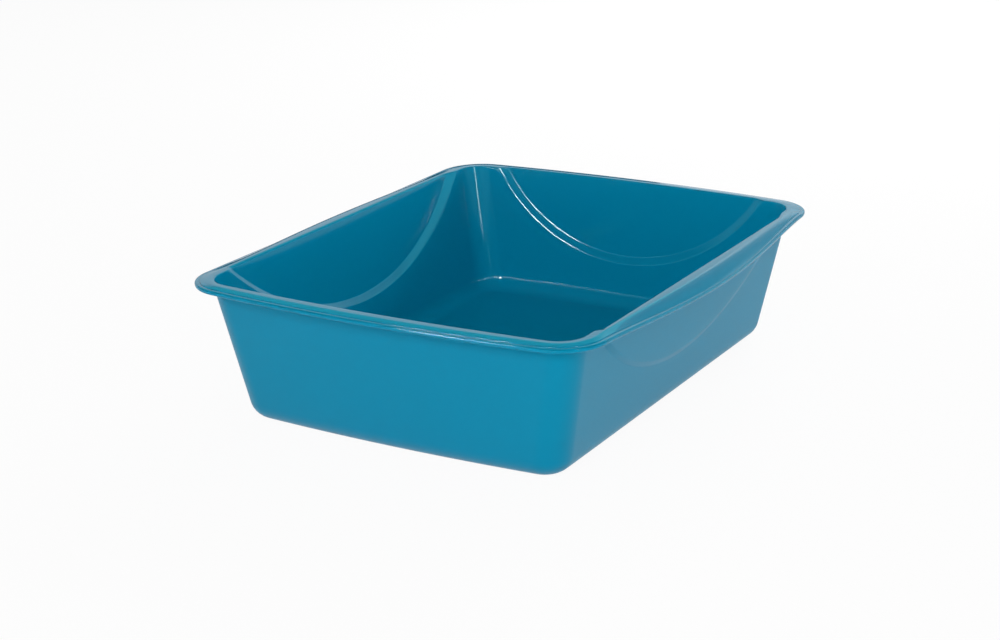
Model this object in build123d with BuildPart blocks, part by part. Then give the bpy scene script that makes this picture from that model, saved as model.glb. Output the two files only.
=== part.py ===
from build123d import *

import os
from math import atan2, cos, pi, sin

# An open cat litter pan, moulded in one piece and standing on its flat base. X runs across it, Y
# along it and Z up, with the origin at the centre of the underside. Lengths are in millimetres.
#
# It is a drafted tub with bowed short ends. Both long walls and the back wall carry an arc like a
# smile, above which the wall steps outward. Round the top runs a rim: a flat land, a rounded
# shoulder and a stepped bead along the edge. On each long side it swells into a broad drooping lip.

# Overall sizes
height = 121.0
wall = 2.2
floor_thickness = 2.8

# The tub's outer walls, as if the corners were square and the base had a sharp edge
base_width = 296.0
base_length = 391.0
top_width = 344.0
top_length = 425.0
end_bow = 8.0
corner_radius = 25.0
base_edge_radius = 18.5

# Arc panels: the wall above each arc stands panel_step outside the wall below it. A sloping flank
# joins the two, from its foot on the wall to its crest on the panel. Both are arcs of circles,
# given by how high their lowest point is up the wall and by the gaps left beside their ends.
panel_step = 3.0
panel_root = 0.3
panel_edge_radius = 0.8
side_foot_rise = 45.0
side_foot_gap = 31.0
side_crest_rise = 52.0
side_crest_gap = 41.5
end_foot_rise = 43.0
end_foot_gap = 47.0
end_crest_rise = 50.0
end_crest_gap = 55.0

# Rim: how far its bead stands out from the tub, and its cross-section
rim_side_overhang = 15.0
rim_end_overhang = 11.5
rim_bow = 12.0
rim_corner_radius = 42.0
rim_thickness = 2.0
rim_drop = 4.6
rim_shoulder = 7.0
bead_height = 3.5
bead_depth = 4.0
bead_bevel = 1.5

# Side lips: how far the middle of each long side swells beyond the rim
lip_swell = 10.0
lip_drop = 10.4
lip_shoulder = 12.5
lip_fullness = 1.5
lip_sections = 7

# Shallow hollow under the floor, which leaves a standing band round it
recess_depth = 0.6
standing_band = 14.0

# Margin for cutting through and for joining solids inside one another
margin = 5.0

side_draft = atan2((top_width - base_width) / 2, height)
end_draft = atan2((top_length - base_length) / 2, height)


def between(low, high, z):
    """Half of a size that grows from low at the base to high at the top, at height z."""
    return (low + (high - low) * z / height) / 2


def bow_radius(width, bow):
    """Radius of an arc over this width that bows out by this much."""
    return ((width / 2) ** 2 + bow**2) / (2 * bow)


def tub(bottom, top, inset):
    """A solid between two heights that lies inset from the tub's outer walls on every side.

    The long sides are planes. The bowed ends are parts of cones about distant upright axes.
    """
    low_x = between(base_width, top_width, bottom) - inset
    high_x = between(base_width, top_width, top) - inset
    low_y = between(base_length, top_length, bottom) + end_bow - inset
    high_y = between(base_length, top_length, top) + end_bow - inset
    axis_y = top_length / 2 + end_bow - bow_radius(top_width, end_bow)
    with BuildPart() as solid:
        with BuildSketch(Plane.XZ):
            with BuildLine():
                Polyline((-low_x, bottom), (low_x, bottom), (high_x, top), (-high_x, top), close=True)
            make_face()
        extrude(amount=top_length, both=True)
        for side in (1, -1):
            with BuildSketch(Plane(origin=(0, 0, 0), x_dir=(0, side, 0), z_dir=(side, 0, 0))):
                with BuildLine():
                    Polyline((axis_y, bottom), (low_y, bottom), (high_y, top), (axis_y, top), close=True)
                make_face()
            revolve(axis=Axis((0, side * axis_y, 0), (0, 0, 1)), mode=Mode.INTERSECT)
        fillet(solid.edges().filter_by(stands_upright), corner_radius - inset)
        base = solid.faces().sort_by(Axis.Z)[0]
        fillet(base.outer_wire().edges(), base_edge_radius - inset)
    return solid.part


def stands_upright(edge):
    """Whether an edge runs from one height to another."""
    return abs((edge @ 0).Z - (edge @ 1).Z) > margin


def arc_radius(half_chord, depth):
    """Radius of a circle's arc that has this half chord and depth."""
    return (half_chord**2 + depth**2) / (2 * depth)


def arc_prism(wall_plane, start, foot, crest):
    """The room in front of a wall that an arc encloses, from a distance start to beyond the panel.

    The arc has the half chord and depth of foot on the wall and those of crest one panel step
    outside it, so the room's flank slopes.
    """
    faces = []
    for distance in (start, panel_step + panel_root):
        share = distance / panel_step
        half_chord = foot[0] + (crest[0] - foot[0]) * share
        depth = foot[1] + (crest[1] - foot[1]) * share
        radius = arc_radius(half_chord, depth)
        centre = radius - depth
        with BuildSketch(wall_plane.offset(distance)) as smile:
            with BuildLine():
                CenterArc((0, centre), radius, 180, 180)
                Line((radius, centre), (-radius, centre))
            make_face()
        faces.append(smile.sketch)
    with BuildPart() as prism:
        loft(faces)
    return prism.part


def side_room(side, inset):
    """The room for the panel of the right side (1) or of the left side (-1)."""
    slope = height / cos(side_draft)
    foot = (top_length / 2 - side_foot_gap, slope - side_foot_rise)
    crest = (top_length / 2 - side_crest_gap, slope - side_crest_rise)
    wall_plane = Plane(
        origin=(side * top_width / 2, 0, height),
        x_dir=(0, side, 0),
        z_dir=(side * cos(side_draft), 0, -sin(side_draft)),
    )
    return arc_prism(wall_plane.offset(-inset), -panel_root, foot, crest)


def back_room(inset):
    """The room for the back panel. Its plane touches the bowed wall at the middle."""
    slope = height / cos(end_draft)
    foot = (top_width / 2 - end_foot_gap, slope - end_foot_rise)
    crest = (top_width / 2 - end_crest_gap, slope - end_crest_rise)
    wall_plane = Plane(
        origin=(0, top_length / 2 + end_bow, height),
        x_dir=(-1, 0, 0),
        z_dir=(0, cos(end_draft), -sin(end_draft)),
    )
    return arc_prism(wall_plane.offset(-inset), -end_bow, foot, crest)


def panels(bottom, inset, top):
    """The three arc panels, for the outside with no inset or for the inside with the wall's."""
    swollen = tub(bottom, top, inset - panel_step)
    solids = []
    for room in (side_room(1, inset), side_room(-1, inset), back_room(inset)):
        with BuildPart() as panel:
            add(swollen)
            add(room, mode=Mode.INTERSECT)
        solids.append(panel.part)
    return solids


def rim_section(plane, reach, shoulder, drop):
    """Cross-section of the rim. The plane's origin is over the bead's outermost line."""
    bead_top = bead_height - drop
    land_edge = -bead_depth - shoulder
    with BuildSketch(plane) as section:
        with BuildLine():
            land = Line((-reach, 0), (land_edge, 0))
            TangentArc(land @ 1, (-bead_depth, bead_top), tangent=land % 1)
            Polyline(
                (-bead_depth, bead_top),
                (-bead_bevel, bead_top),
                (0, bead_top - bead_bevel),
                (0, -drop),
                (-rim_thickness, -drop),
                (-rim_thickness, bead_top - rim_thickness),
                (-bead_depth, bead_top - rim_thickness),
                (land_edge, -rim_thickness),
                (-reach, -rim_thickness),
                (-reach, 0),
            )
        make_face()
    return section.sketch


def rim_outline():
    """The bead's outermost line round the front half, as a straight, three arcs and a straight."""
    half_x = top_width / 2 + rim_side_overhang
    half_y = top_length / 2 + rim_end_overhang
    with BuildLine(Plane.XY.offset(height)) as outline:
        Line((half_x, 0), (half_x, -half_y))
        ThreePointArc((half_x, -half_y), (0, -half_y - rim_bow), (-half_x, -half_y))
        Line((-half_x, -half_y), (-half_x, 0))
        fillet(outline.vertices().group_by(Axis.Y)[0], rim_corner_radius)
    return outline


def rim_end(arcs, start):
    """The rim round the front end, from one side lip to the other."""
    section_plane = Plane(origin=start, x_dir=(1, 0, 0), z_dir=(0, -1, 0))
    section = rim_section(section_plane, rim_side_overhang + margin, rim_shoulder, rim_drop)
    with BuildPart() as end:
        with BuildLine() as route:
            add(arcs)
        sweep(sections=section, path=route.wire())
    return end.part


def side_lip(start):
    """The right side's rim, which swells outward and droops towards its middle."""
    sections = []
    for index in range(lip_sections):
        place = 2 * index / (lip_sections - 1) - 1
        share = max(cos(pi * place / 2), 0) ** lip_fullness
        swell = lip_swell * share
        section_plane = Plane(
            origin=(start.X + swell, -start.Y * place, height), x_dir=(1, 0, 0), z_dir=(0, -1, 0)
        )
        reach = rim_side_overhang + margin + swell
        shoulder = rim_shoulder + (lip_shoulder - rim_shoulder) * share
        drop = rim_drop + (lip_drop - rim_drop) * share
        sections.append(rim_section(section_plane, reach, shoulder, drop))
    with BuildPart() as lip:
        loft(sections)
    return lip.part


def hangs_from_rim(edge):
    """Whether an inside edge of a panel's flank starts and ends at the top and dips between."""
    ends_at_top = abs((edge @ 0).Z - height) < panel_root and abs((edge @ 1).Z - height) < panel_root
    return ends_at_top and (edge @ 0.5).Z < height - rim_drop


outline = rim_outline()
arcs = outline.edges().filter_by(GeomType.CIRCLE).sort_by(Axis.X, reverse=True)
lip_start = outline.edges().filter_by(GeomType.LINE).sort_by(Axis.X)[-1] @ 1
front_rim = rim_end(arcs, lip_start)
right_lip = side_lip(lip_start)
outer_tub = tub(0, height, 0)
outer_panels = panels(0, 0, height - rim_thickness / 2)
cavity = tub(floor_thickness, height + margin, wall)
inner_panels = panels(floor_thickness, wall, height + margin)
recess_width = base_width - 2 * (base_edge_radius + standing_band)
recess_length = base_length - 2 * (base_edge_radius + standing_band)

with BuildPart() as pan:
    # The outside: tub, panels and rim
    add(outer_tub)
    add(outer_panels)
    add(front_rim)
    mirror(front_rim, about=Plane.XZ)
    add(right_lip)
    mirror(right_lip, about=Plane.YZ)

    # The room inside, one wall thickness smaller
    add(cavity, mode=Mode.SUBTRACT)
    add(inner_panels, mode=Mode.SUBTRACT)

    # The mouth and the panels' flanks are rounded together, because their rounds meet
    land = pan.faces().filter_by(Plane.XY).sort_by(Axis.Z)[-1]
    flank_edges = pan.edges().filter_by(hangs_from_rim)
    fillet(land.inner_wires()[0].edges() + flank_edges, panel_edge_radius)

    # The hollow underneath
    with BuildSketch(Plane.XY):
        RectangleRounded(recess_width, recess_length, corner_radius)
    extrude(amount=recess_depth, mode=Mode.SUBTRACT)

os.makedirs("parts", exist_ok=True)
pan.part.label = "pan"
export_step(pan.part, "parts/pan.step")
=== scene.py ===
from collections import namedtuple
from math import atan, atan2, cos, pi, radians, sin, sqrt

import bmesh
import bpy
from mathutils import Matrix, Vector


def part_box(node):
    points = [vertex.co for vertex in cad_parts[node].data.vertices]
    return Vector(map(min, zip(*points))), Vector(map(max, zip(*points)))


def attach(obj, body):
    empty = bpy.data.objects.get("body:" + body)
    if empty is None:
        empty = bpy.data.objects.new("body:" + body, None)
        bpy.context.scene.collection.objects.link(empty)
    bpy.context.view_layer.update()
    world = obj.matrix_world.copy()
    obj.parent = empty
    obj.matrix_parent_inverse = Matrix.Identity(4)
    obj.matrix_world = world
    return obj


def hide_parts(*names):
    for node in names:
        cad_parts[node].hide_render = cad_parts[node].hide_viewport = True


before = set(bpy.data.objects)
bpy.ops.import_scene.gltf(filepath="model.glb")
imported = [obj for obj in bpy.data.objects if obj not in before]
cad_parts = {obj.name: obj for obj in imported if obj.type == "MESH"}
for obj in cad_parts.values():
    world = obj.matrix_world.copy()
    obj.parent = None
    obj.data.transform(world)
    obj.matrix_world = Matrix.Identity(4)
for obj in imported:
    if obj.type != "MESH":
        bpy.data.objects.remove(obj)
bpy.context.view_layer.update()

bl_info = {
    "name": "Cat Litter Pan",
    "version": (1, 0, 0),
    "blender": (4, 5, 0),
    "location": "View3D > Sidebar > Litter Pan",
    "description": "Models an open cat litter pan in moulded plastic and sets a studio round it",
    "category": "Object",
}

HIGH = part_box("pan")[1]
HEIGHT = HIGH.z
MIDDLE = Vector((0, 0, HEIGHT / 2))
MM = 0.001

# Places over the round at a flank's edge, from its start at -1 to its end at 1
BENDS = (-1, -0.6, -0.2, 0.2, 0.6, 1)
# Rounds after which a size that depends on itself has settled
SETTLING = 4
# Least height between two rings of a wall, in millimetres
RING_GAP = 0.04
# Distance of a bow's centre that leaves an end straight, in metres
FAR = 100
# Faces that meet at a sharper turn than this keep a hard edge
CREASE = radians(55)

WHITE = (1.0, 1.0, 1.0, 1.0)
# Width and length of the floor, in metres
FLOOR_SIZE = 12
# Sine of the elevation above which the even light falls to the ceiling's, and how steeply
CEILING_EDGE = 0.37
CEILING_FADE = 20.0
# Width of the camera's sensor, in millimetres
SENSOR_WIDTH = 36


# Settings


def length(name, description, millimetres):
    """A named length that Blender's panels show with its unit."""
    return bpy.props.FloatProperty(
        name=name, description=description, default=millimetres * MM, unit="LENGTH", precision=4
    )


def colour(name, description, default):
    """A named colour, linear red, green and blue."""
    return bpy.props.FloatVectorProperty(
        name=name, description=description, default=default, subtype="COLOR", min=0, max=1
    )


def amount(name, description, default):
    """A named plain number."""
    return bpy.props.FloatProperty(name=name, description=description, default=default)


def fraction(name, description, default):
    """A named number from 0 to 1."""
    return bpy.props.FloatProperty(
        name=name, description=description, default=default, subtype="FACTOR", min=0, max=1
    )


def rotation(name, description, degrees):
    """A named angle, which Blender's panels show in degrees."""
    return bpy.props.FloatProperty(
        name=name, description=description, default=radians(degrees), subtype="ANGLE"
    )


def wattage(name, description, watts):
    """A named power of a lamp."""
    return bpy.props.FloatProperty(name=name, description=description, default=watts, unit="POWER")


def count(name, description, default):
    """A named whole number."""
    return bpy.props.IntProperty(name=name, description=description, default=default, min=1)


class TubSizes(bpy.types.PropertyGroup):
    """The drafted tub, as if its corners were square and its base had a sharp edge."""

    base_width: length("Base width", "Width of the tub at the ground", 296)
    base_length: length("Base length", "Length of the tub at the ground, at the corners", 391)
    top_width: length("Top width", "Width of the tub at the rim", 344)
    top_length: length("Top length", "Length of the tub at the rim, at the corners", 425)
    bow: length("Bow", "How far the middle of each short end stands out", 8)
    corner: length("Corner radius", "Radius of the upright corners", 25)
    base_edge: length("Base edge radius", "Radius of the round between base and walls", 18.5)
    wall: length("Wall", "Thickness of the walls", 2.2)
    floor: length("Floor", "Thickness of the floor", 2.8)
    recess: length("Recess depth", "Depth of the hollow under the floor", 0.6)
    band: length("Standing band", "Width of the flat band that the pan stands on", 14)


class PanelSizes(bpy.types.PropertyGroup):
    """The arc panels: the wall above each arc stands a step outside the wall below it."""

    step: length("Step", "How far a panel stands outside the wall below it", 3)
    side_foot_depth: length("Side foot depth", "Depth of a side arc's foot below the rim", 77.5)
    side_foot_reach: length("Side foot reach", "Half chord of a side arc's foot at the rim", 181)
    side_crest_depth: length("Side crest depth", "Depth of a side arc's crest below the rim", 71.4)
    side_crest_reach: length("Side crest reach", "Half chord of a side arc's crest", 171)
    end_foot_depth: length("End foot depth", "Depth of the back arc's foot below the rim", 79)
    end_foot_reach: length("End foot reach", "Half chord of the back arc's foot at the rim", 138.5)
    end_crest_depth: length("End crest depth", "Depth of the back arc's crest below the rim", 72)
    end_crest_reach: length("End crest reach", "Half chord of the back arc's crest", 131)
    side_foot_shift: length("Side foot shift", "How far a side arc's foot lies to the back", 3)
    side_crest_shift: length("Side crest shift", "How far its crest lies to the front", 2)
    crisp: fraction("Crisp edge", "Reach of a crisp edge's round, as a share of the flank", 0.15)
    soft: fraction("Soft edge", "Reach of a soft edge's round, as a share of the flank", 0.25)


class RimSizes(bpy.types.PropertyGroup):
    """The rim's outline, its cross-section and the swell of the side lips."""

    bow: length("Bow", "How far the middle of each end of the rim stands out", 12)
    corner: length("Corner radius", "Radius of the rim's corners", 41)
    lip_swell: length("Lip swell", "How far the middle of each long side swells", 10)
    thickness: length("Thickness", "Thickness of the rim", 2)
    mouth: length("Mouth radius", "Radius of the round on the mouth's edge beside the panels", 0.9)
    side_mouth: length("Side mouth", "Width of that round over the side panels", 4)
    side_mouth_depth: length("Side mouth depth", "Depth of that round over the side panels", 1.5)
    back_mouth: length("Back mouth radius", "Radius of that round over the back panel", 1.3)
    drop: length("Drop", "Depth of the bead's lower edge below the rim's top", 4.5)
    lip_drop: length("Lip drop", "That depth in the middle of a side lip", 10)
    shoulder: length("Shoulder", "Width of the rounded shoulder", 7)
    lip_shoulder: length("Lip shoulder", "That width in the middle of a side lip", 15)
    shoulder_edge: length("Shoulder edge", "Radius of the round where the shoulder steps down", 0.5)
    crown: amount("Crown", "Power of the curve over the shoulder", 1.2)
    lip_crown: amount("Lip crown", "That power in the middle of a side lip", 2.3)
    bead_height: length("Bead height", "Height of the bead", 3.3)
    bead_depth: length("Bead depth", "How far the bead stands out from the shoulder", 4)
    lip_bead_depth: length("Lip bead depth", "That depth in the middle of a side lip", 2)
    bead_tuck: length("Bead tuck", "How far the bead's lower edge turns back under it", 0.8)
    square: amount("Bead squareness", "Power of the bead's section, where 2 is an ellipse", 3.4)
    fullness: amount("Lip fullness", "Power of the cosine that shapes a side lip's swell", 1.25)


class MeshSizes(bpy.types.PropertyGroup):
    """How finely each stretch of the shell is divided."""

    side: count("Half side", "Faces along half of a long side", 64)
    corner: count("Corner", "Faces round a corner", 24)
    end: count("Half end", "Faces along half of a short end", 48)
    base_round: count("Base round", "Faces up the base's round", 9)
    wall: count("Wall", "Faces up a wall below a flank, and above it", 5)
    land: count("Land", "Faces across the rim's flat land, and across its underside there", 3)
    shoulder: count("Shoulder", "Faces over the rim's shoulder", 10)
    edge: count("Shoulder edge", "Faces round the shoulder's edge", 4)
    bead: count("Bead", "Faces over the bead's upper side", 16)
    tuck: count("Bead tuck", "Faces round the bead's lower edge", 4)
    mouth: count("Mouth", "Faces over the mouth's edge", 6)


class PlasticFinish(bpy.types.PropertyGroup):
    """The moulded plastic's colour and surface."""

    teal: colour("Teal", "Colour of the plastic", (0.0, 0.24, 0.405))
    deep_teal: colour("Deep teal", "Colour where the pigment flows darker", (0.0, 0.225, 0.385))
    glint: colour("Glint", "Tint of the reflections that face the viewer", (0.2, 0.95, 1.0))
    gloss: fraction("Gloss roughness", "Roughness of the polished inside and rim", 0.09)
    satin: fraction("Satin roughness", "Roughness of the grained outside", 0.4)
    unevenness: amount("Unevenness", "How far the grain changes the outside's roughness", 0.12)
    grain: amount("Grain", "Strength of the fine grain outside", 0.16)
    ripple: amount("Ripple", "Strength of the faint moulding ripple", 0.02)
    relief: length("Relief", "Height that the grain and ripple at full strength would have", 0.6)
    relief_strength: fraction("Relief strength", "Share of that height that shows", 0.35)
    flow_scale: amount("Flow scale", "Scale of the pigment's flow", 9)
    grain_scale: amount("Grain scale", "Scale of the fine grain", 1500)
    ripple_scale: amount("Ripple scale", "Scale of the moulding ripple", 26)
    refraction: amount("Refraction", "The plastic's index of refraction", 1.36)


class StudioSetup(bpy.types.PropertyGroup):
    """The stage round the pan."""

    paper: colour("Paper", "Colour of the floor", (0.86, 0.86, 0.86))
    white: fraction("White", "How far the floor is plain white where it is seen", 0.94)
    felt: colour("Felt", "Colour of the dark flag behind the pan", (0.01, 0.01, 0.01))
    ceiling: fraction("Ceiling", "The even light from above, where it is 1 from the sides", 0.15)
    key: wattage("Key light", "Power of the soft light in front", 14.5)
    overhead: wattage("Overhead", "Power of the wide light above", 9)
    back: wattage("Back light", "Power of the soft light behind", 27)
    side: wattage("Side light", "Power of the low soft light on the right", 2.2)
    card: wattage("Card", "Power of the weak wide light that the side lips mirror", 2)
    glint: amount("Glint", "Brightness of the small lamps that the walls and a corner mirror", 320)
    rim_glint: amount("Rim glint", "Brightness of the small lamp that the front rim mirrors", 160)
    glow: amount("Glow", "Brightness of the soft lamp beside them", 60)
    warmth: colour(
        "Warmth", "Colour of those lamps, which the plastic's glint turns white", (1.0, 0.3, 0.29)
    )
    sheen: amount("Sheen", "Brightness of the lamp that the left arc panel's flank mirrors", 1.6)
    rim_sheen: amount("Rim sheen", "Brightness of the lamp that the front shoulder mirrors", 0.9)
    cool: colour("Cool", "Colour of those two lamps", (0.0, 0.95, 1.0))
    viewpoint: bpy.props.FloatVectorProperty(
        name="Camera place",
        description="Where the camera stands",
        default=(0.8105, -1.4003, 0.5999),
        subtype="TRANSLATION",
        unit="LENGTH",
        precision=4,
    )
    azimuth: rotation("Camera azimuth", "Angle round from the front towards the right", 30.6)
    elevation: rotation("Camera elevation", "Angle above the horizon", 19.99)
    tilt: rotation("Camera tilt", "Angle by which the camera is rolled", -1.22)
    lens: bpy.props.FloatProperty(
        name="Lens", description="Focal length of the camera", default=70.7, unit="CAMERA"
    )
    shift: bpy.props.FloatVectorProperty(
        name="Camera shift",
        description="Shift across and up, in sensor widths",
        default=(0.0008, 0.0414),
        size=2,
        precision=4,
    )


def settings(name):
    """One of the settings groups above."""
    return getattr(bpy.context.scene, "pan_" + name)


# Outline and sections of the shell

Column = namedtuple("Column", "part share right back")
Outline = namedtuple("Outline", "half_x end_y corner axis_y")


def columns():
    """The mesh's upright lines, once round, anticlockwise from the middle of the right side."""
    mesh = settings("mesh")
    outward = [("side", index / mesh.side) for index in range(mesh.side)]
    outward += [("corner", index / mesh.corner) for index in range(mesh.corner)]
    outward += [("end", index / mesh.end) for index in range(mesh.end + 1)]
    inward = outward[::-1]
    quarters = [
        (outward, 1, 1),
        (inward[1:], -1, 1),
        (outward[1:], -1, -1),
        (inward[1:-1], 1, -1),
    ]
    return [
        Column(*station, right, back) for quarter, right, back in quarters for station in quarter
    ]


def bow_radius(half_width, bow):
    """Radius of an arc over twice this half width that bows out by this much."""
    return (half_width**2 + bow**2) / (2 * bow)


def meeting(outline):
    """Where the outline's corner round is centred, and the angle at which it meets the bow."""
    centre_x = outline.half_x - outline.corner
    bow = outline.end_y - outline.axis_y
    rise = sqrt((bow - outline.corner) ** 2 - centre_x**2)
    return centre_x, outline.axis_y + rise, atan2(rise, centre_x)


def on_outline(column, outline, swell=0.0):
    """The column's point in plan on an outline: straight sides, round corners, bowed ends."""
    centre_x, centre_y, turn = meeting(outline)
    if column.part == "side":
        x, y = outline.half_x + swell, centre_y * column.share
    elif column.part == "corner":
        angle = turn * column.share
        x, y = centre_x + outline.corner * cos(angle), centre_y + outline.corner * sin(angle)
    else:
        angle = turn + (pi / 2 - turn) * column.share
        bow = outline.end_y - outline.axis_y
        x, y = bow * cos(angle), outline.axis_y + bow * sin(angle)
    return column.right * x, column.back * y


def endness(column):
    """0 on a long side, 1 on a short end, and between them round a corner."""
    return {"side": 0.0, "corner": column.share, "end": 1.0}[column.part]


def tub_outline(depth, inset):
    """The tub's outline at a depth below the rim, inset from its outside."""
    tub = settings("tub")
    share = depth / HEIGHT
    axis_y = tub.top_length / 2 + tub.bow - bow_radius(tub.top_width / 2, tub.bow)
    half_x = tub.top_width / 2 + (tub.base_width - tub.top_width) / 2 * share - inset
    end_y = tub.top_length / 2 + (tub.base_length - tub.top_length) / 2 * share + tub.bow - inset
    return Outline(half_x, end_y, tub.corner - inset, axis_y)


def rim_outline(inset):
    """The outline of the rim without the side lips' swell, inset from the bead's outermost line."""
    rim = settings("rim")
    half_x = HIGH.x - rim.lip_swell
    axis_y = HIGH.y - bow_radius(half_x, rim.bow)
    return Outline(half_x - inset, HIGH.y - inset, rim.corner - inset, axis_y)


def draft(column):
    """The wall's lean from upright at a column."""
    tub = settings("tub")
    side = atan2((tub.top_width - tub.base_width) / 2, HEIGHT)
    end = atan2((tub.top_length - tub.base_length) / 2, HEIGHT)
    return side + (end - side) * endness(column)


def arc_depth(along, depth, reach):
    """Depth of an arc below the rim at a distance from its middle, negative beyond its ends."""
    radius = (reach**2 + depth**2) / (2 * depth)
    return sqrt(max(radius**2 - along**2, 0)) - (radius - depth)


def arc_depths(column, x, y):
    """How deep below the rim the arc's foot and crest lie at a place, straight down."""
    panel = settings("panel")
    if column.part == "side":
        foot_y = y - panel.side_foot_shift
        crest_y = y + panel.side_crest_shift
        foot = arc_depth(foot_y, panel.side_foot_depth, panel.side_foot_reach)
        crest = arc_depth(crest_y, panel.side_crest_depth, panel.side_crest_reach)
    elif column.part == "end" and column.back > 0:
        foot = arc_depth(x, panel.end_foot_depth, panel.end_foot_reach)
        crest = arc_depth(x, panel.end_crest_depth, panel.end_crest_reach)
    else:
        # Where there is no panel, its flank would lie above the rim
        foot = -panel.step
        crest = foot - 2 * panel.step
    lean = cos(draft(column))
    return foot * lean, crest * lean


def rounded_step(place, foot_round, crest_round):
    """A ramp from 0 at place 0 to 1 at place 1, with its two bends rounded."""
    if place < -foot_round:
        return 0.0
    if place < foot_round:
        return (place + foot_round) ** 2 / (4 * foot_round)
    if place < 1 - crest_round:
        return place
    if place < 1 + crest_round:
        return 1 - (1 + crest_round - place) ** 2 / (4 * crest_round)
    return 1.0


def wall_rows(inset, top, bottom, foot_round, crest_round):
    """Rings up a wall, from its bottom to its top, which follow the arc panels' flanks.

    Top and bottom give each column's depth below the rim, at the rim and at the base's round.
    """
    panel = settings("panel")
    faces = settings("mesh").wall
    rows = [("lower", index / faces) for index in range(1, faces)]
    rows += [("flank", bend * foot_round) for bend in BENDS]
    rows += [("flank", 0.5)]
    rows += [("flank", 1 + bend * crest_round) for bend in BENDS]
    rows += [("upper", index / faces) for index in range(1, faces + 1)]
    rings = []
    for number, (zone, share) in enumerate(rows):
        ring = []
        for column in columns():
            least = top(column) + (len(rows) - 1 - number) * RING_GAP * MM
            depth = least
            for _ in range(SETTLING):
                outline = tub_outline(depth, inset)
                foot, crest = arc_depths(column, *on_outline(column, outline))
                width = max(foot - crest, panel.step)
                low = max(foot + foot_round * width, least)
                high = max(crest - crest_round * width, least)
                if zone == "lower":
                    wanted = bottom(column) + (low - bottom(column)) * share
                elif zone == "flank":
                    wanted = foot - share * width
                else:
                    wanted = high + (top(column) - high) * share
                depth = max(wanted, least)
            step = panel.step * rounded_step((foot - depth) / width, foot_round, crest_round)
            outline = tub_outline(depth, inset - step)
            ring.append(Vector((*on_outline(column, outline), HEIGHT - depth)))
        rings.append(ring)
    return rings


def panel_share(column, depth):
    """0 where the wall inside stands back at this depth below the rim, 1 on a panel."""
    panel = settings("panel")
    foot, crest = arc_depths(column, *on_outline(column, tub_outline(depth, settings("tub").wall)))
    width = max(foot - crest, panel.step)
    return rounded_step((foot - depth) / width, panel.crisp, panel.crisp)


def mouth_round(column):
    """Width and depth of the round on the mouth's edge at a column."""
    rim = settings("rim")
    over_panel = (rim.back_mouth, rim.back_mouth)
    if column.part == "side":
        over_panel = (rim.side_mouth, rim.side_mouth_depth)
    share = panel_share(column, over_panel[1])
    return [rim.mouth + (size - rim.mouth) * share for size in over_panel]


def mouth_depth(column):
    """How far below the rim's top the round on the mouth's edge ends at a column."""
    return mouth_round(column)[1]


def base_round(inset, ground):
    """Rings from the edge of the flat base up its round to the walls, and the depth they reach."""
    tub = settings("tub")
    faces = settings("mesh").base_round
    radius = tub.base_edge - inset

    def top_depth(column):
        """How deep below the rim the round ends and the wall begins at a column."""
        return HEIGHT - ground - radius * (1 - sin(draft(column)))

    rings = []
    for index in range(faces + 1):
        ring = []
        for column in columns():
            lean = draft(column)
            angle = (pi / 2 - lean) * index / faces
            shrink = radius * (cos(lean) - sin(angle))
            outline = tub_outline(top_depth(column), inset + shrink)
            ring.append(Vector((*on_outline(column, outline), ground + radius * (1 - cos(angle)))))
        rings.append(ring)
    return rings, top_depth


def rim_point(column, inward, down):
    """A point of the rim this far inward of the bead's outermost line and below the rim's top."""
    x, y = on_outline(column, rim_outline(inward), swell_at(column) * settings("rim").lip_swell)
    return Vector((x, y, HEIGHT - down))


def swell_at(column):
    """0 where a side lip starts, 1 in its middle."""
    if column.part != "side":
        return 0.0
    return cos(pi * column.share / 2) ** settings("rim").fullness


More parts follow.
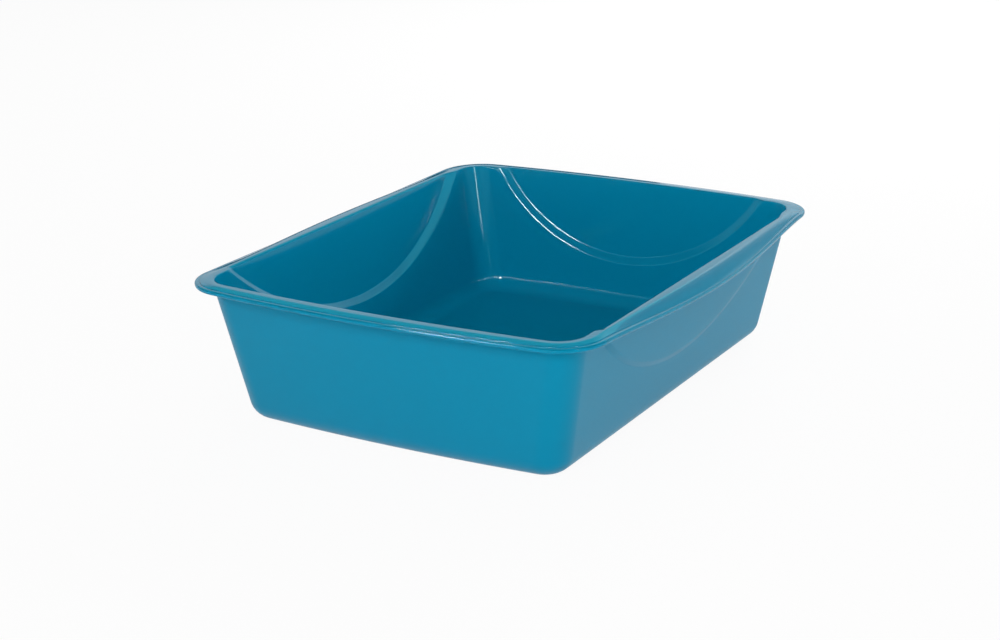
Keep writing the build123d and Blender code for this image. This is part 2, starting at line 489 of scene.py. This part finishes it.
def rim_rings(start, stop):
    """Rings over the rim, from the wall outside under it to the mouth's edge.

    Start is the ring where the outer wall meets the rim's underside, and stop is where the round of
    the mouth's edge meets the land.
    """
    rim = settings("rim")
    mesh = settings("mesh")
    around = columns()

    def at(column, plain, in_lip):
        """A size at a column, which changes from plain to in_lip towards a side lip's middle."""
        return plain + (in_lip - plain) * swell_at(column)

    def step_down(column):
        """How deep below the rim's top the bead's top lies at a column."""
        return at(column, rim.drop, rim.lip_drop) - rim.bead_height

    def shoulder(column, place):
        """Over the shoulder for places up to 1, then round its edge up to 2."""
        wide = at(column, rim.shoulder, rim.lip_shoulder)
        power = at(column, rim.crown, rim.lip_crown)
        depth = at(column, rim.bead_depth, rim.lip_bead_depth)
        turn = 0.0
        for _ in range(SETTLING):
            along = wide - rim.shoulder_edge * (1 - sin(turn))
            fall = step_down(column) - rim.shoulder_edge * cos(turn)
            turn = atan(power * fall / along)
        if place <= 1:
            return rim_point(column, depth + wide - along * place, fall * place**power)
        angle = turn + (pi / 2 - turn) * (place - 1)
        inward = depth + rim.shoulder_edge * (1 - sin(angle))
        return rim_point(column, inward, step_down(column) - rim.shoulder_edge * cos(angle))

    def bead(column, place):
        """Over the bead for places up to 1, then round its lower edge up to 2."""
        low = rim.bead_height - 2 * rim.bead_tuck
        angle = pi / 2 * place
        if place <= 1:
            across = 1 - sin(angle) ** (2 / rim.square)
            fall = 1 - max(cos(angle), 0) ** (2 / rim.square)
            inward = at(column, rim.bead_depth, rim.lip_bead_depth) * across
            return rim_point(column, inward, step_down(column) + low * fall)
        inward = rim.bead_tuck * (1 - sin(angle))
        return rim_point(column, inward, step_down(column) + low - 2 * rim.bead_tuck * cos(angle))

    def under(column, place):
        """Along the shoulder's underside, from the wall to the bead's hollow."""
        point = shoulder(column, place)
        return Vector((point.x, point.y, point.z - rim.thickness))

    inner = rim.bead_tuck + rim.thickness
    over = [index / mesh.shoulder for index in range(mesh.shoulder + 1)]
    over += [1 + (index + 1) / mesh.edge for index in range(mesh.edge)]
    turned = [index / mesh.bead for index in range(1, mesh.bead + 1)]
    turned += [1 + (index + 1) / mesh.tuck for index in range(mesh.tuck)]
    underside = [[under(column, place) for column in around] for place in over[: mesh.shoulder + 1]]
    ledge = [[rim_point(column, inner, step_down(column) + rim.thickness) for column in around]]
    skirt = [[rim_point(column, inner, step_down(column) + rim.bead_height) for column in around]]
    edge = [[bead(column, place) for column in around] for place in turned[::-1]]
    top = [[shoulder(column, place) for column in around] for place in over[::-1]]
    return [
        *between(start, underside[0], mesh.land),
        *underside,
        *ledge,
        *skirt,
        *edge,
        *top,
        *between(top[-1], stop, mesh.land),
    ]


def between(first, last, faces):
    """The rings that divide the stretch between two rings, without the two themselves."""
    shares = [index / faces for index in range(1, faces)]
    return [[a.lerp(b, share) for a, b in zip(first, last)] for share in shares]


def mouth_rings():
    """Rings over the mouth's rounded edge, from the land down to the wall inside."""
    faces = settings("mesh").mouth
    rings = []
    for index in range(faces + 1):
        angle = pi / 2 * index / faces
        ring = []
        for column in columns():
            width, depth = mouth_round(column)
            inset = settings("tub").wall - settings("panel").step * panel_share(column, depth)
            outline = tub_outline(depth, inset - width * (1 - sin(angle)))
            ring.append(Vector((*on_outline(column, outline), HEIGHT - depth * (1 - cos(angle)))))
        rings.append(ring)
    return rings


def recess_ring(height):
    """The edge of the shallow hollow under the floor, at this height."""
    tub = settings("tub")
    edge = tub.base_edge + tub.band
    half_y = tub.base_length / 2 - edge
    outline = Outline(tub.base_width / 2 - edge, half_y, tub.corner, half_y - FAR)
    return [Vector((*on_outline(column, outline), height)) for column in columns()]


# Modelling


def start_from_ring(name, ring):
    """Adds a filled circle, lays it on the ring and leaves it selected in edit mode."""
    bpy.ops.object.select_all(action="DESELECT")
    bpy.ops.mesh.primitive_circle_add(vertices=len(ring), fill_type="NGON")
    piece = bpy.context.object
    piece.name = name
    bpy.ops.object.mode_set(mode="EDIT")
    mesh = bmesh.from_edit_mesh(piece.data)
    column = mesh.verts.layers.int.new("column")
    mesh.verts.layers.float.new("satin")
    for index, vertex in enumerate(mesh.verts):
        vertex[column] = index
    lay_on(ring, 1.0)
    return piece


def lay_on(ring, satin):
    """Moves the selected face's corners onto a ring and says how satin the plastic is there."""
    mesh = bmesh.from_edit_mesh(bpy.context.object.data)
    column = mesh.verts.layers.int["column"]
    finish = mesh.verts.layers.float["satin"]
    for vertex in mesh.verts:
        if vertex.select:
            vertex.co = ring[vertex[column]]
            vertex[finish] = satin
    bmesh.update_edit_mesh(bpy.context.object.data)


def extrude_to(rings, satin):
    """Extrudes the selected face from ring to ring."""
    for ring in rings:
        bpy.ops.mesh.extrude_region_move()
        lay_on(ring, satin)


class PAN_OT_shell(bpy.types.Operator):
    """Models the tub, arc panels, rim and side lips, drawn out ring by ring from the underside"""

    bl_idname = "pan.shell"
    bl_label = "Add Pan"

    def execute(self, context):
        tub = settings("tub")
        panel = settings("panel")
        rim = settings("rim")
        outer_round, outer_top = base_round(0.0, 0.0)
        inner_round, inner_top = base_round(tub.wall, tub.floor)
        outside = wall_rows(0.0, lambda column: rim.thickness, outer_top, panel.crisp, panel.soft)
        inside = wall_rows(tub.wall, mouth_depth, inner_top, panel.crisp, panel.crisp)
        mouth = mouth_rings()
        pan = start_from_ring("pan_shell", recess_ring(tub.recess))
        extrude_to([recess_ring(0.0), *outer_round, *outside], 1.0)
        extrude_to([*rim_rings(outside[-1], mouth[0]), *mouth], 0.0)
        extrude_to([*inside[::-1][1:], *inner_round[::-1]], 0.0)
        bpy.ops.mesh.select_all(action="SELECT")
        bpy.ops.mesh.normals_make_consistent(inside=False)
        bpy.ops.object.mode_set(mode="OBJECT")
        bpy.ops.object.shade_smooth_by_angle(angle=CREASE)
        pan.data.materials.append(moulded_plastic())
        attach(pan, "root")
        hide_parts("pan")
        return {"FINISHED"}


# Materials


class Value:
    """A socket in a node tree, with the arithmetic that the finishes use."""

    def __init__(self, tree, socket=None):
        self.tree = tree
        self.socket = socket

    def node(self, kind, options=(), output=0, **inputs):
        """Adds a node, makes its settings, fills its sockets and gives one of its outputs.

        A socket takes a number or a link. It goes by its name, with _ for a space, or by i and
        its number.
        """
        made = self.tree.nodes.new(kind)
        for name, value in dict(options).items():
            setattr(made, name, value)
        for name, value in inputs.items():
            key = int(name[1:]) if name[1:].isdigit() else name.replace("_", " ")
            if isinstance(value, Value):
                self.tree.links.new(value.socket, made.inputs[key])
            else:
                made.inputs[key].default_value = value
        return Value(self.tree, made.outputs[output] if made.outputs else None)

    def maths(self, operation, first, second):
        """The result of a Math node on two values or numbers."""
        return self.node("ShaderNodeMath", {"operation": operation}, i0=first, i1=second)

    def __add__(self, other):
        return self.maths("ADD", self, other)

    def __mul__(self, other):
        return self.maths("MULTIPLY", self, other)

    __radd__ = __add__
    __rmul__ = __mul__

    def __sub__(self, other):
        return self.maths("SUBTRACT", self, other)

    def __rsub__(self, other):
        return self.maths("SUBTRACT", other, self)

    def at_least(self, other):
        """This value, or the other where that is more."""
        return self.maths("MAXIMUM", self, other)

    def at_most(self, other):
        """This value, or the other where that is less."""
        return self.maths("MINIMUM", self, other)

    def blend(self, low, high):
        """A colour between two, by this value."""
        return self.node(
            "ShaderNodeMix",
            {"data_type": "RGBA"},
            output=2,
            Factor=self,
            i6=(*low, 1.0),
            i7=(*high, 1.0),
        )

    def noise(self, scale, detail=2.0):
        """Noise over this value as a position, from 0 to 1."""
        return self.node("ShaderNodeTexNoise", Vector=self, Scale=scale, Detail=detail)


def empty_tree(owner):
    """A material's or world's node tree with nothing in it, as a value to build from."""
    owner.use_nodes = True
    owner.node_tree.nodes.clear()
    return Value(owner.node_tree)


def moulded_plastic():
    """Teal polypropylene: polished inside and on the rim, finely grained outside."""
    finish = settings("finish")
    material = bpy.data.materials.new("teal_plastic")
    tree = empty_tree(material)
    place = tree.node("ShaderNodeTexCoord", output="Object")
    satin = tree.node("ShaderNodeAttribute", {"attribute_name": "satin"}, output="Fac")
    flow = place.noise(finish.flow_scale)
    grain = place.noise(finish.grain_scale, detail=3.0)
    ripple = place.noise(finish.ripple_scale)
    roughness = (1 - satin) * finish.gloss + satin * finish.satin
    roughness = roughness + (grain - 0.5) * satin * finish.unevenness
    relief = grain * satin * finish.grain + ripple * finish.ripple
    normal = tree.node(
        "ShaderNodeBump", Height=relief, Distance=finish.relief, Strength=finish.relief_strength
    )
    shader = tree.node(
        "ShaderNodeBsdfPrincipled",
        Base_Color=flow.blend(finish.teal, finish.deep_teal),
        Roughness=roughness,
        IOR=finish.refraction,
        Specular_Tint=(*finish.glint, 1.0),
        Normal=normal,
    )
    tree.node("ShaderNodeOutputMaterial", Surface=shader)
    return material


def seen_or_mirrored(tree):
    """1 for what the camera or a glossy or clear surface sees, 0 for light that only falls."""
    rays = ("Is Camera Ray", "Is Glossy Ray", "Is Transmission Ray")
    camera, glossy, clear = (tree.node("ShaderNodeLightPath", output=ray) for ray in rays)
    return camera.at_least(glossy).at_least(clear)


def paper_white():
    """Floor paper: it takes the light and the pan's shadow, and shows nearly white when seen."""
    studio = settings("studio")
    material = bpy.data.materials.new("paper_white")
    tree = empty_tree(material)
    paper = tree.node("ShaderNodeBsdfDiffuse", Color=(*studio.paper, 1.0))
    white = tree.node("ShaderNodeEmission", Color=WHITE, Strength=1.0)
    seen = seen_or_mirrored(tree) * studio.white
    mixed = tree.node("ShaderNodeMixShader", i0=seen, i1=paper, i2=white)
    tree.node("ShaderNodeOutputMaterial", Surface=mixed)
    return material


def black_felt():
    """The flag's cloth, which shows only as the dark line along the rim's far edge."""
    material = bpy.data.materials.new("black_felt")
    tree = empty_tree(material)
    felt = tree.node("ShaderNodeBsdfDiffuse", Color=(*settings("studio").felt, 1.0))
    tree.node("ShaderNodeOutputMaterial", Surface=felt)
    return material


# Stage


def even_light():
    """A white world, dimmer from above than from the sides."""
    world = bpy.data.worlds.new("even_light")
    tree = empty_tree(world)
    way = tree.node("ShaderNodeTexCoord", output="Generated")
    up = tree.node("ShaderNodeSeparateXYZ", output="Z", Vector=way)
    above = ((up - CEILING_EDGE) * CEILING_FADE).at_least(0.0).at_most(1.0)
    strength = 1 - above * (1 - settings("studio").ceiling)
    light = tree.node("ShaderNodeBackground", Color=WHITE, Strength=strength)
    tree.node("ShaderNodeOutputWorld", Surface=light)
    return world


def dark_flag(name, place, width, height):
    """An upright dark card that faces the pan and only shows in glossy surfaces."""
    bpy.ops.object.select_all(action="DESELECT")
    bpy.ops.mesh.primitive_plane_add(size=1, location=place)
    flag = bpy.context.object
    flag.name = name
    flag.rotation_euler = (pi / 2, 0, atan2(place[0], -place[1]))
    flag.scale = (width, height, 1)
    flag.visible_camera = False
    flag.visible_diffuse = False
    flag.visible_shadow = False
    flag.data.materials.append(black_felt())


def soft_light(name, place, width, height, watts):
    """A rectangular lamp that faces the pan's middle and doesn't show in glossy surfaces."""
    bpy.ops.object.select_all(action="DESELECT")
    bpy.ops.object.light_add(type="AREA", location=place)
    lamp = bpy.context.object
    lamp.name = name
    lamp.data.shape = "RECTANGLE"
    lamp.data.size = width
    lamp.data.size_y = height
    lamp.data.energy = watts
    lamp.visible_camera = False
    lamp.visible_glossy = False
    lamp.rotation_euler = (MIDDLE - Vector(place)).to_track_quat("-Z", "Y").to_euler()
    return lamp


def glint_light(name, place, width, height, brightness, tint):
    """A lamp that only shows in glossy surfaces, this bright for each square metre."""
    lamp = soft_light(name, place, width, height, pi * width * height * brightness)
    lamp.visible_diffuse = False
    lamp.visible_glossy = True
    lamp.data.color = tint


def add_lamps():
    """The soft lamps, then those that only make highlights, each by its place and size."""
    studio = settings("studio")
    soft_light("key", (0.55, -1.6, 0.95), 1.0, 0.7, studio.key)
    soft_light("overhead", (0, 0, 2.5), 3.0, 3.0, studio.overhead)
    soft_light("back", (-0.1, 1.9, 0.8), 1.2, 0.6, studio.back)
    soft_light("side", (1.6, -0.6, 0.14), 0.8, 0.2, studio.side)
    card = soft_light("card", (0.3, 1.9, 1.05), 2.0, 0.7, studio.card)
    card.visible_glossy = True
    glint_light("wall_glint", (-0.24, -0.85, 0.47), 0.24, 0.16, studio.glint, studio.warmth)
    glint_light("rim_glint", (0.25, -0.9, 0.45), 0.3, 0.1, studio.rim_glint, studio.warmth)
    glint_light("corner_glint", (1.03, -0.06, 0.56), 0.09, 0.09, studio.glint, studio.warmth)
    glint_light("right_glow", (1.15, -0.6, 0.45), 0.1, 0.5, studio.glow, studio.warmth)
    glint_light("panel_sheen", (0.78, 0.97, 0.42), 0.5, 0.3, studio.sheen, studio.cool)
    glint_light("rim_sheen", (-1.15, 1.39, 1.25), 1.8, 0.5, studio.rim_sheen, studio.cool)


def add_camera():
    """The camera, in front of the pan on the right and looking down on it."""
    studio = settings("studio")
    turn = Matrix.Rotation(studio.azimuth, 3, "Z")
    turn = turn @ Matrix.Rotation(pi / 2 - studio.elevation, 3, "X")
    turn = turn @ Matrix.Rotation(studio.tilt, 3, "Z")
    bpy.ops.object.camera_add(location=studio.viewpoint, rotation=turn.to_euler())
    camera = bpy.context.object
    camera.data.sensor_width = SENSOR_WIDTH
    camera.data.lens = studio.lens
    camera.data.shift_x, camera.data.shift_y = studio.shift
    return camera


class PAN_OT_stage(bpy.types.Operator):
    """Sets the floor, the even light, the lamps and the camera round the pan"""

    bl_idname = "pan.stage"
    bl_label = "Add Studio"

    def execute(self, context):
        scene = context.scene
        bpy.ops.object.select_all(action="DESELECT")
        bpy.ops.mesh.primitive_plane_add(size=FLOOR_SIZE, location=(0, 0, 0))
        floor = context.object
        floor.name = "floor"
        floor.data.materials.append(paper_white())
        dark_flag("back_flag", (-1.15, 1.2, 0.15), 1.4, 0.3)
        scene.world = even_light()
        add_lamps()
        scene.camera = add_camera()
        scene.view_settings.view_transform = "Standard"
        return {"FINISHED"}


class PAN_PT_sidebar(bpy.types.Panel):
    """Lists the pan's steps and settings"""

    bl_idname = "PAN_PT_sidebar"
    bl_label = "Litter Pan"
    bl_space_type = "VIEW_3D"
    bl_region_type = "UI"
    bl_category = "Litter Pan"

    def draw(self, context):
        for step in STEPS:
            self.layout.operator(step.bl_idname)
        for name, group in GROUPS.items():
            box = self.layout.box()
            box.label(text=group.__name__)
            for setting in group.__annotations__:
                box.prop(settings(name), setting)


STEPS = [PAN_OT_shell, PAN_OT_stage]
GROUPS = {
    "tub": TubSizes,
    "panel": PanelSizes,
    "rim": RimSizes,
    "mesh": MeshSizes,
    "finish": PlasticFinish,
    "studio": StudioSetup,
}


def register():
    """Adds the classes to Blender and the settings to its scenes."""
    for kind in [*GROUPS.values(), *STEPS, PAN_PT_sidebar]:
        bpy.utils.register_class(kind)
    for name, group in GROUPS.items():
        setattr(bpy.types.Scene, "pan_" + name, bpy.props.PointerProperty(type=group))


def unregister():
    """Takes away what register adds."""
    for name in GROUPS:
        delattr(bpy.types.Scene, "pan_" + name)
    for kind in [PAN_PT_sidebar, *STEPS, *GROUPS.values()]:
        bpy.utils.unregister_class(kind)


def main():
    """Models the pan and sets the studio."""
    register()
    bpy.ops.pan.shell()
    bpy.ops.pan.stage()


if __name__ == "__main__":
    main()
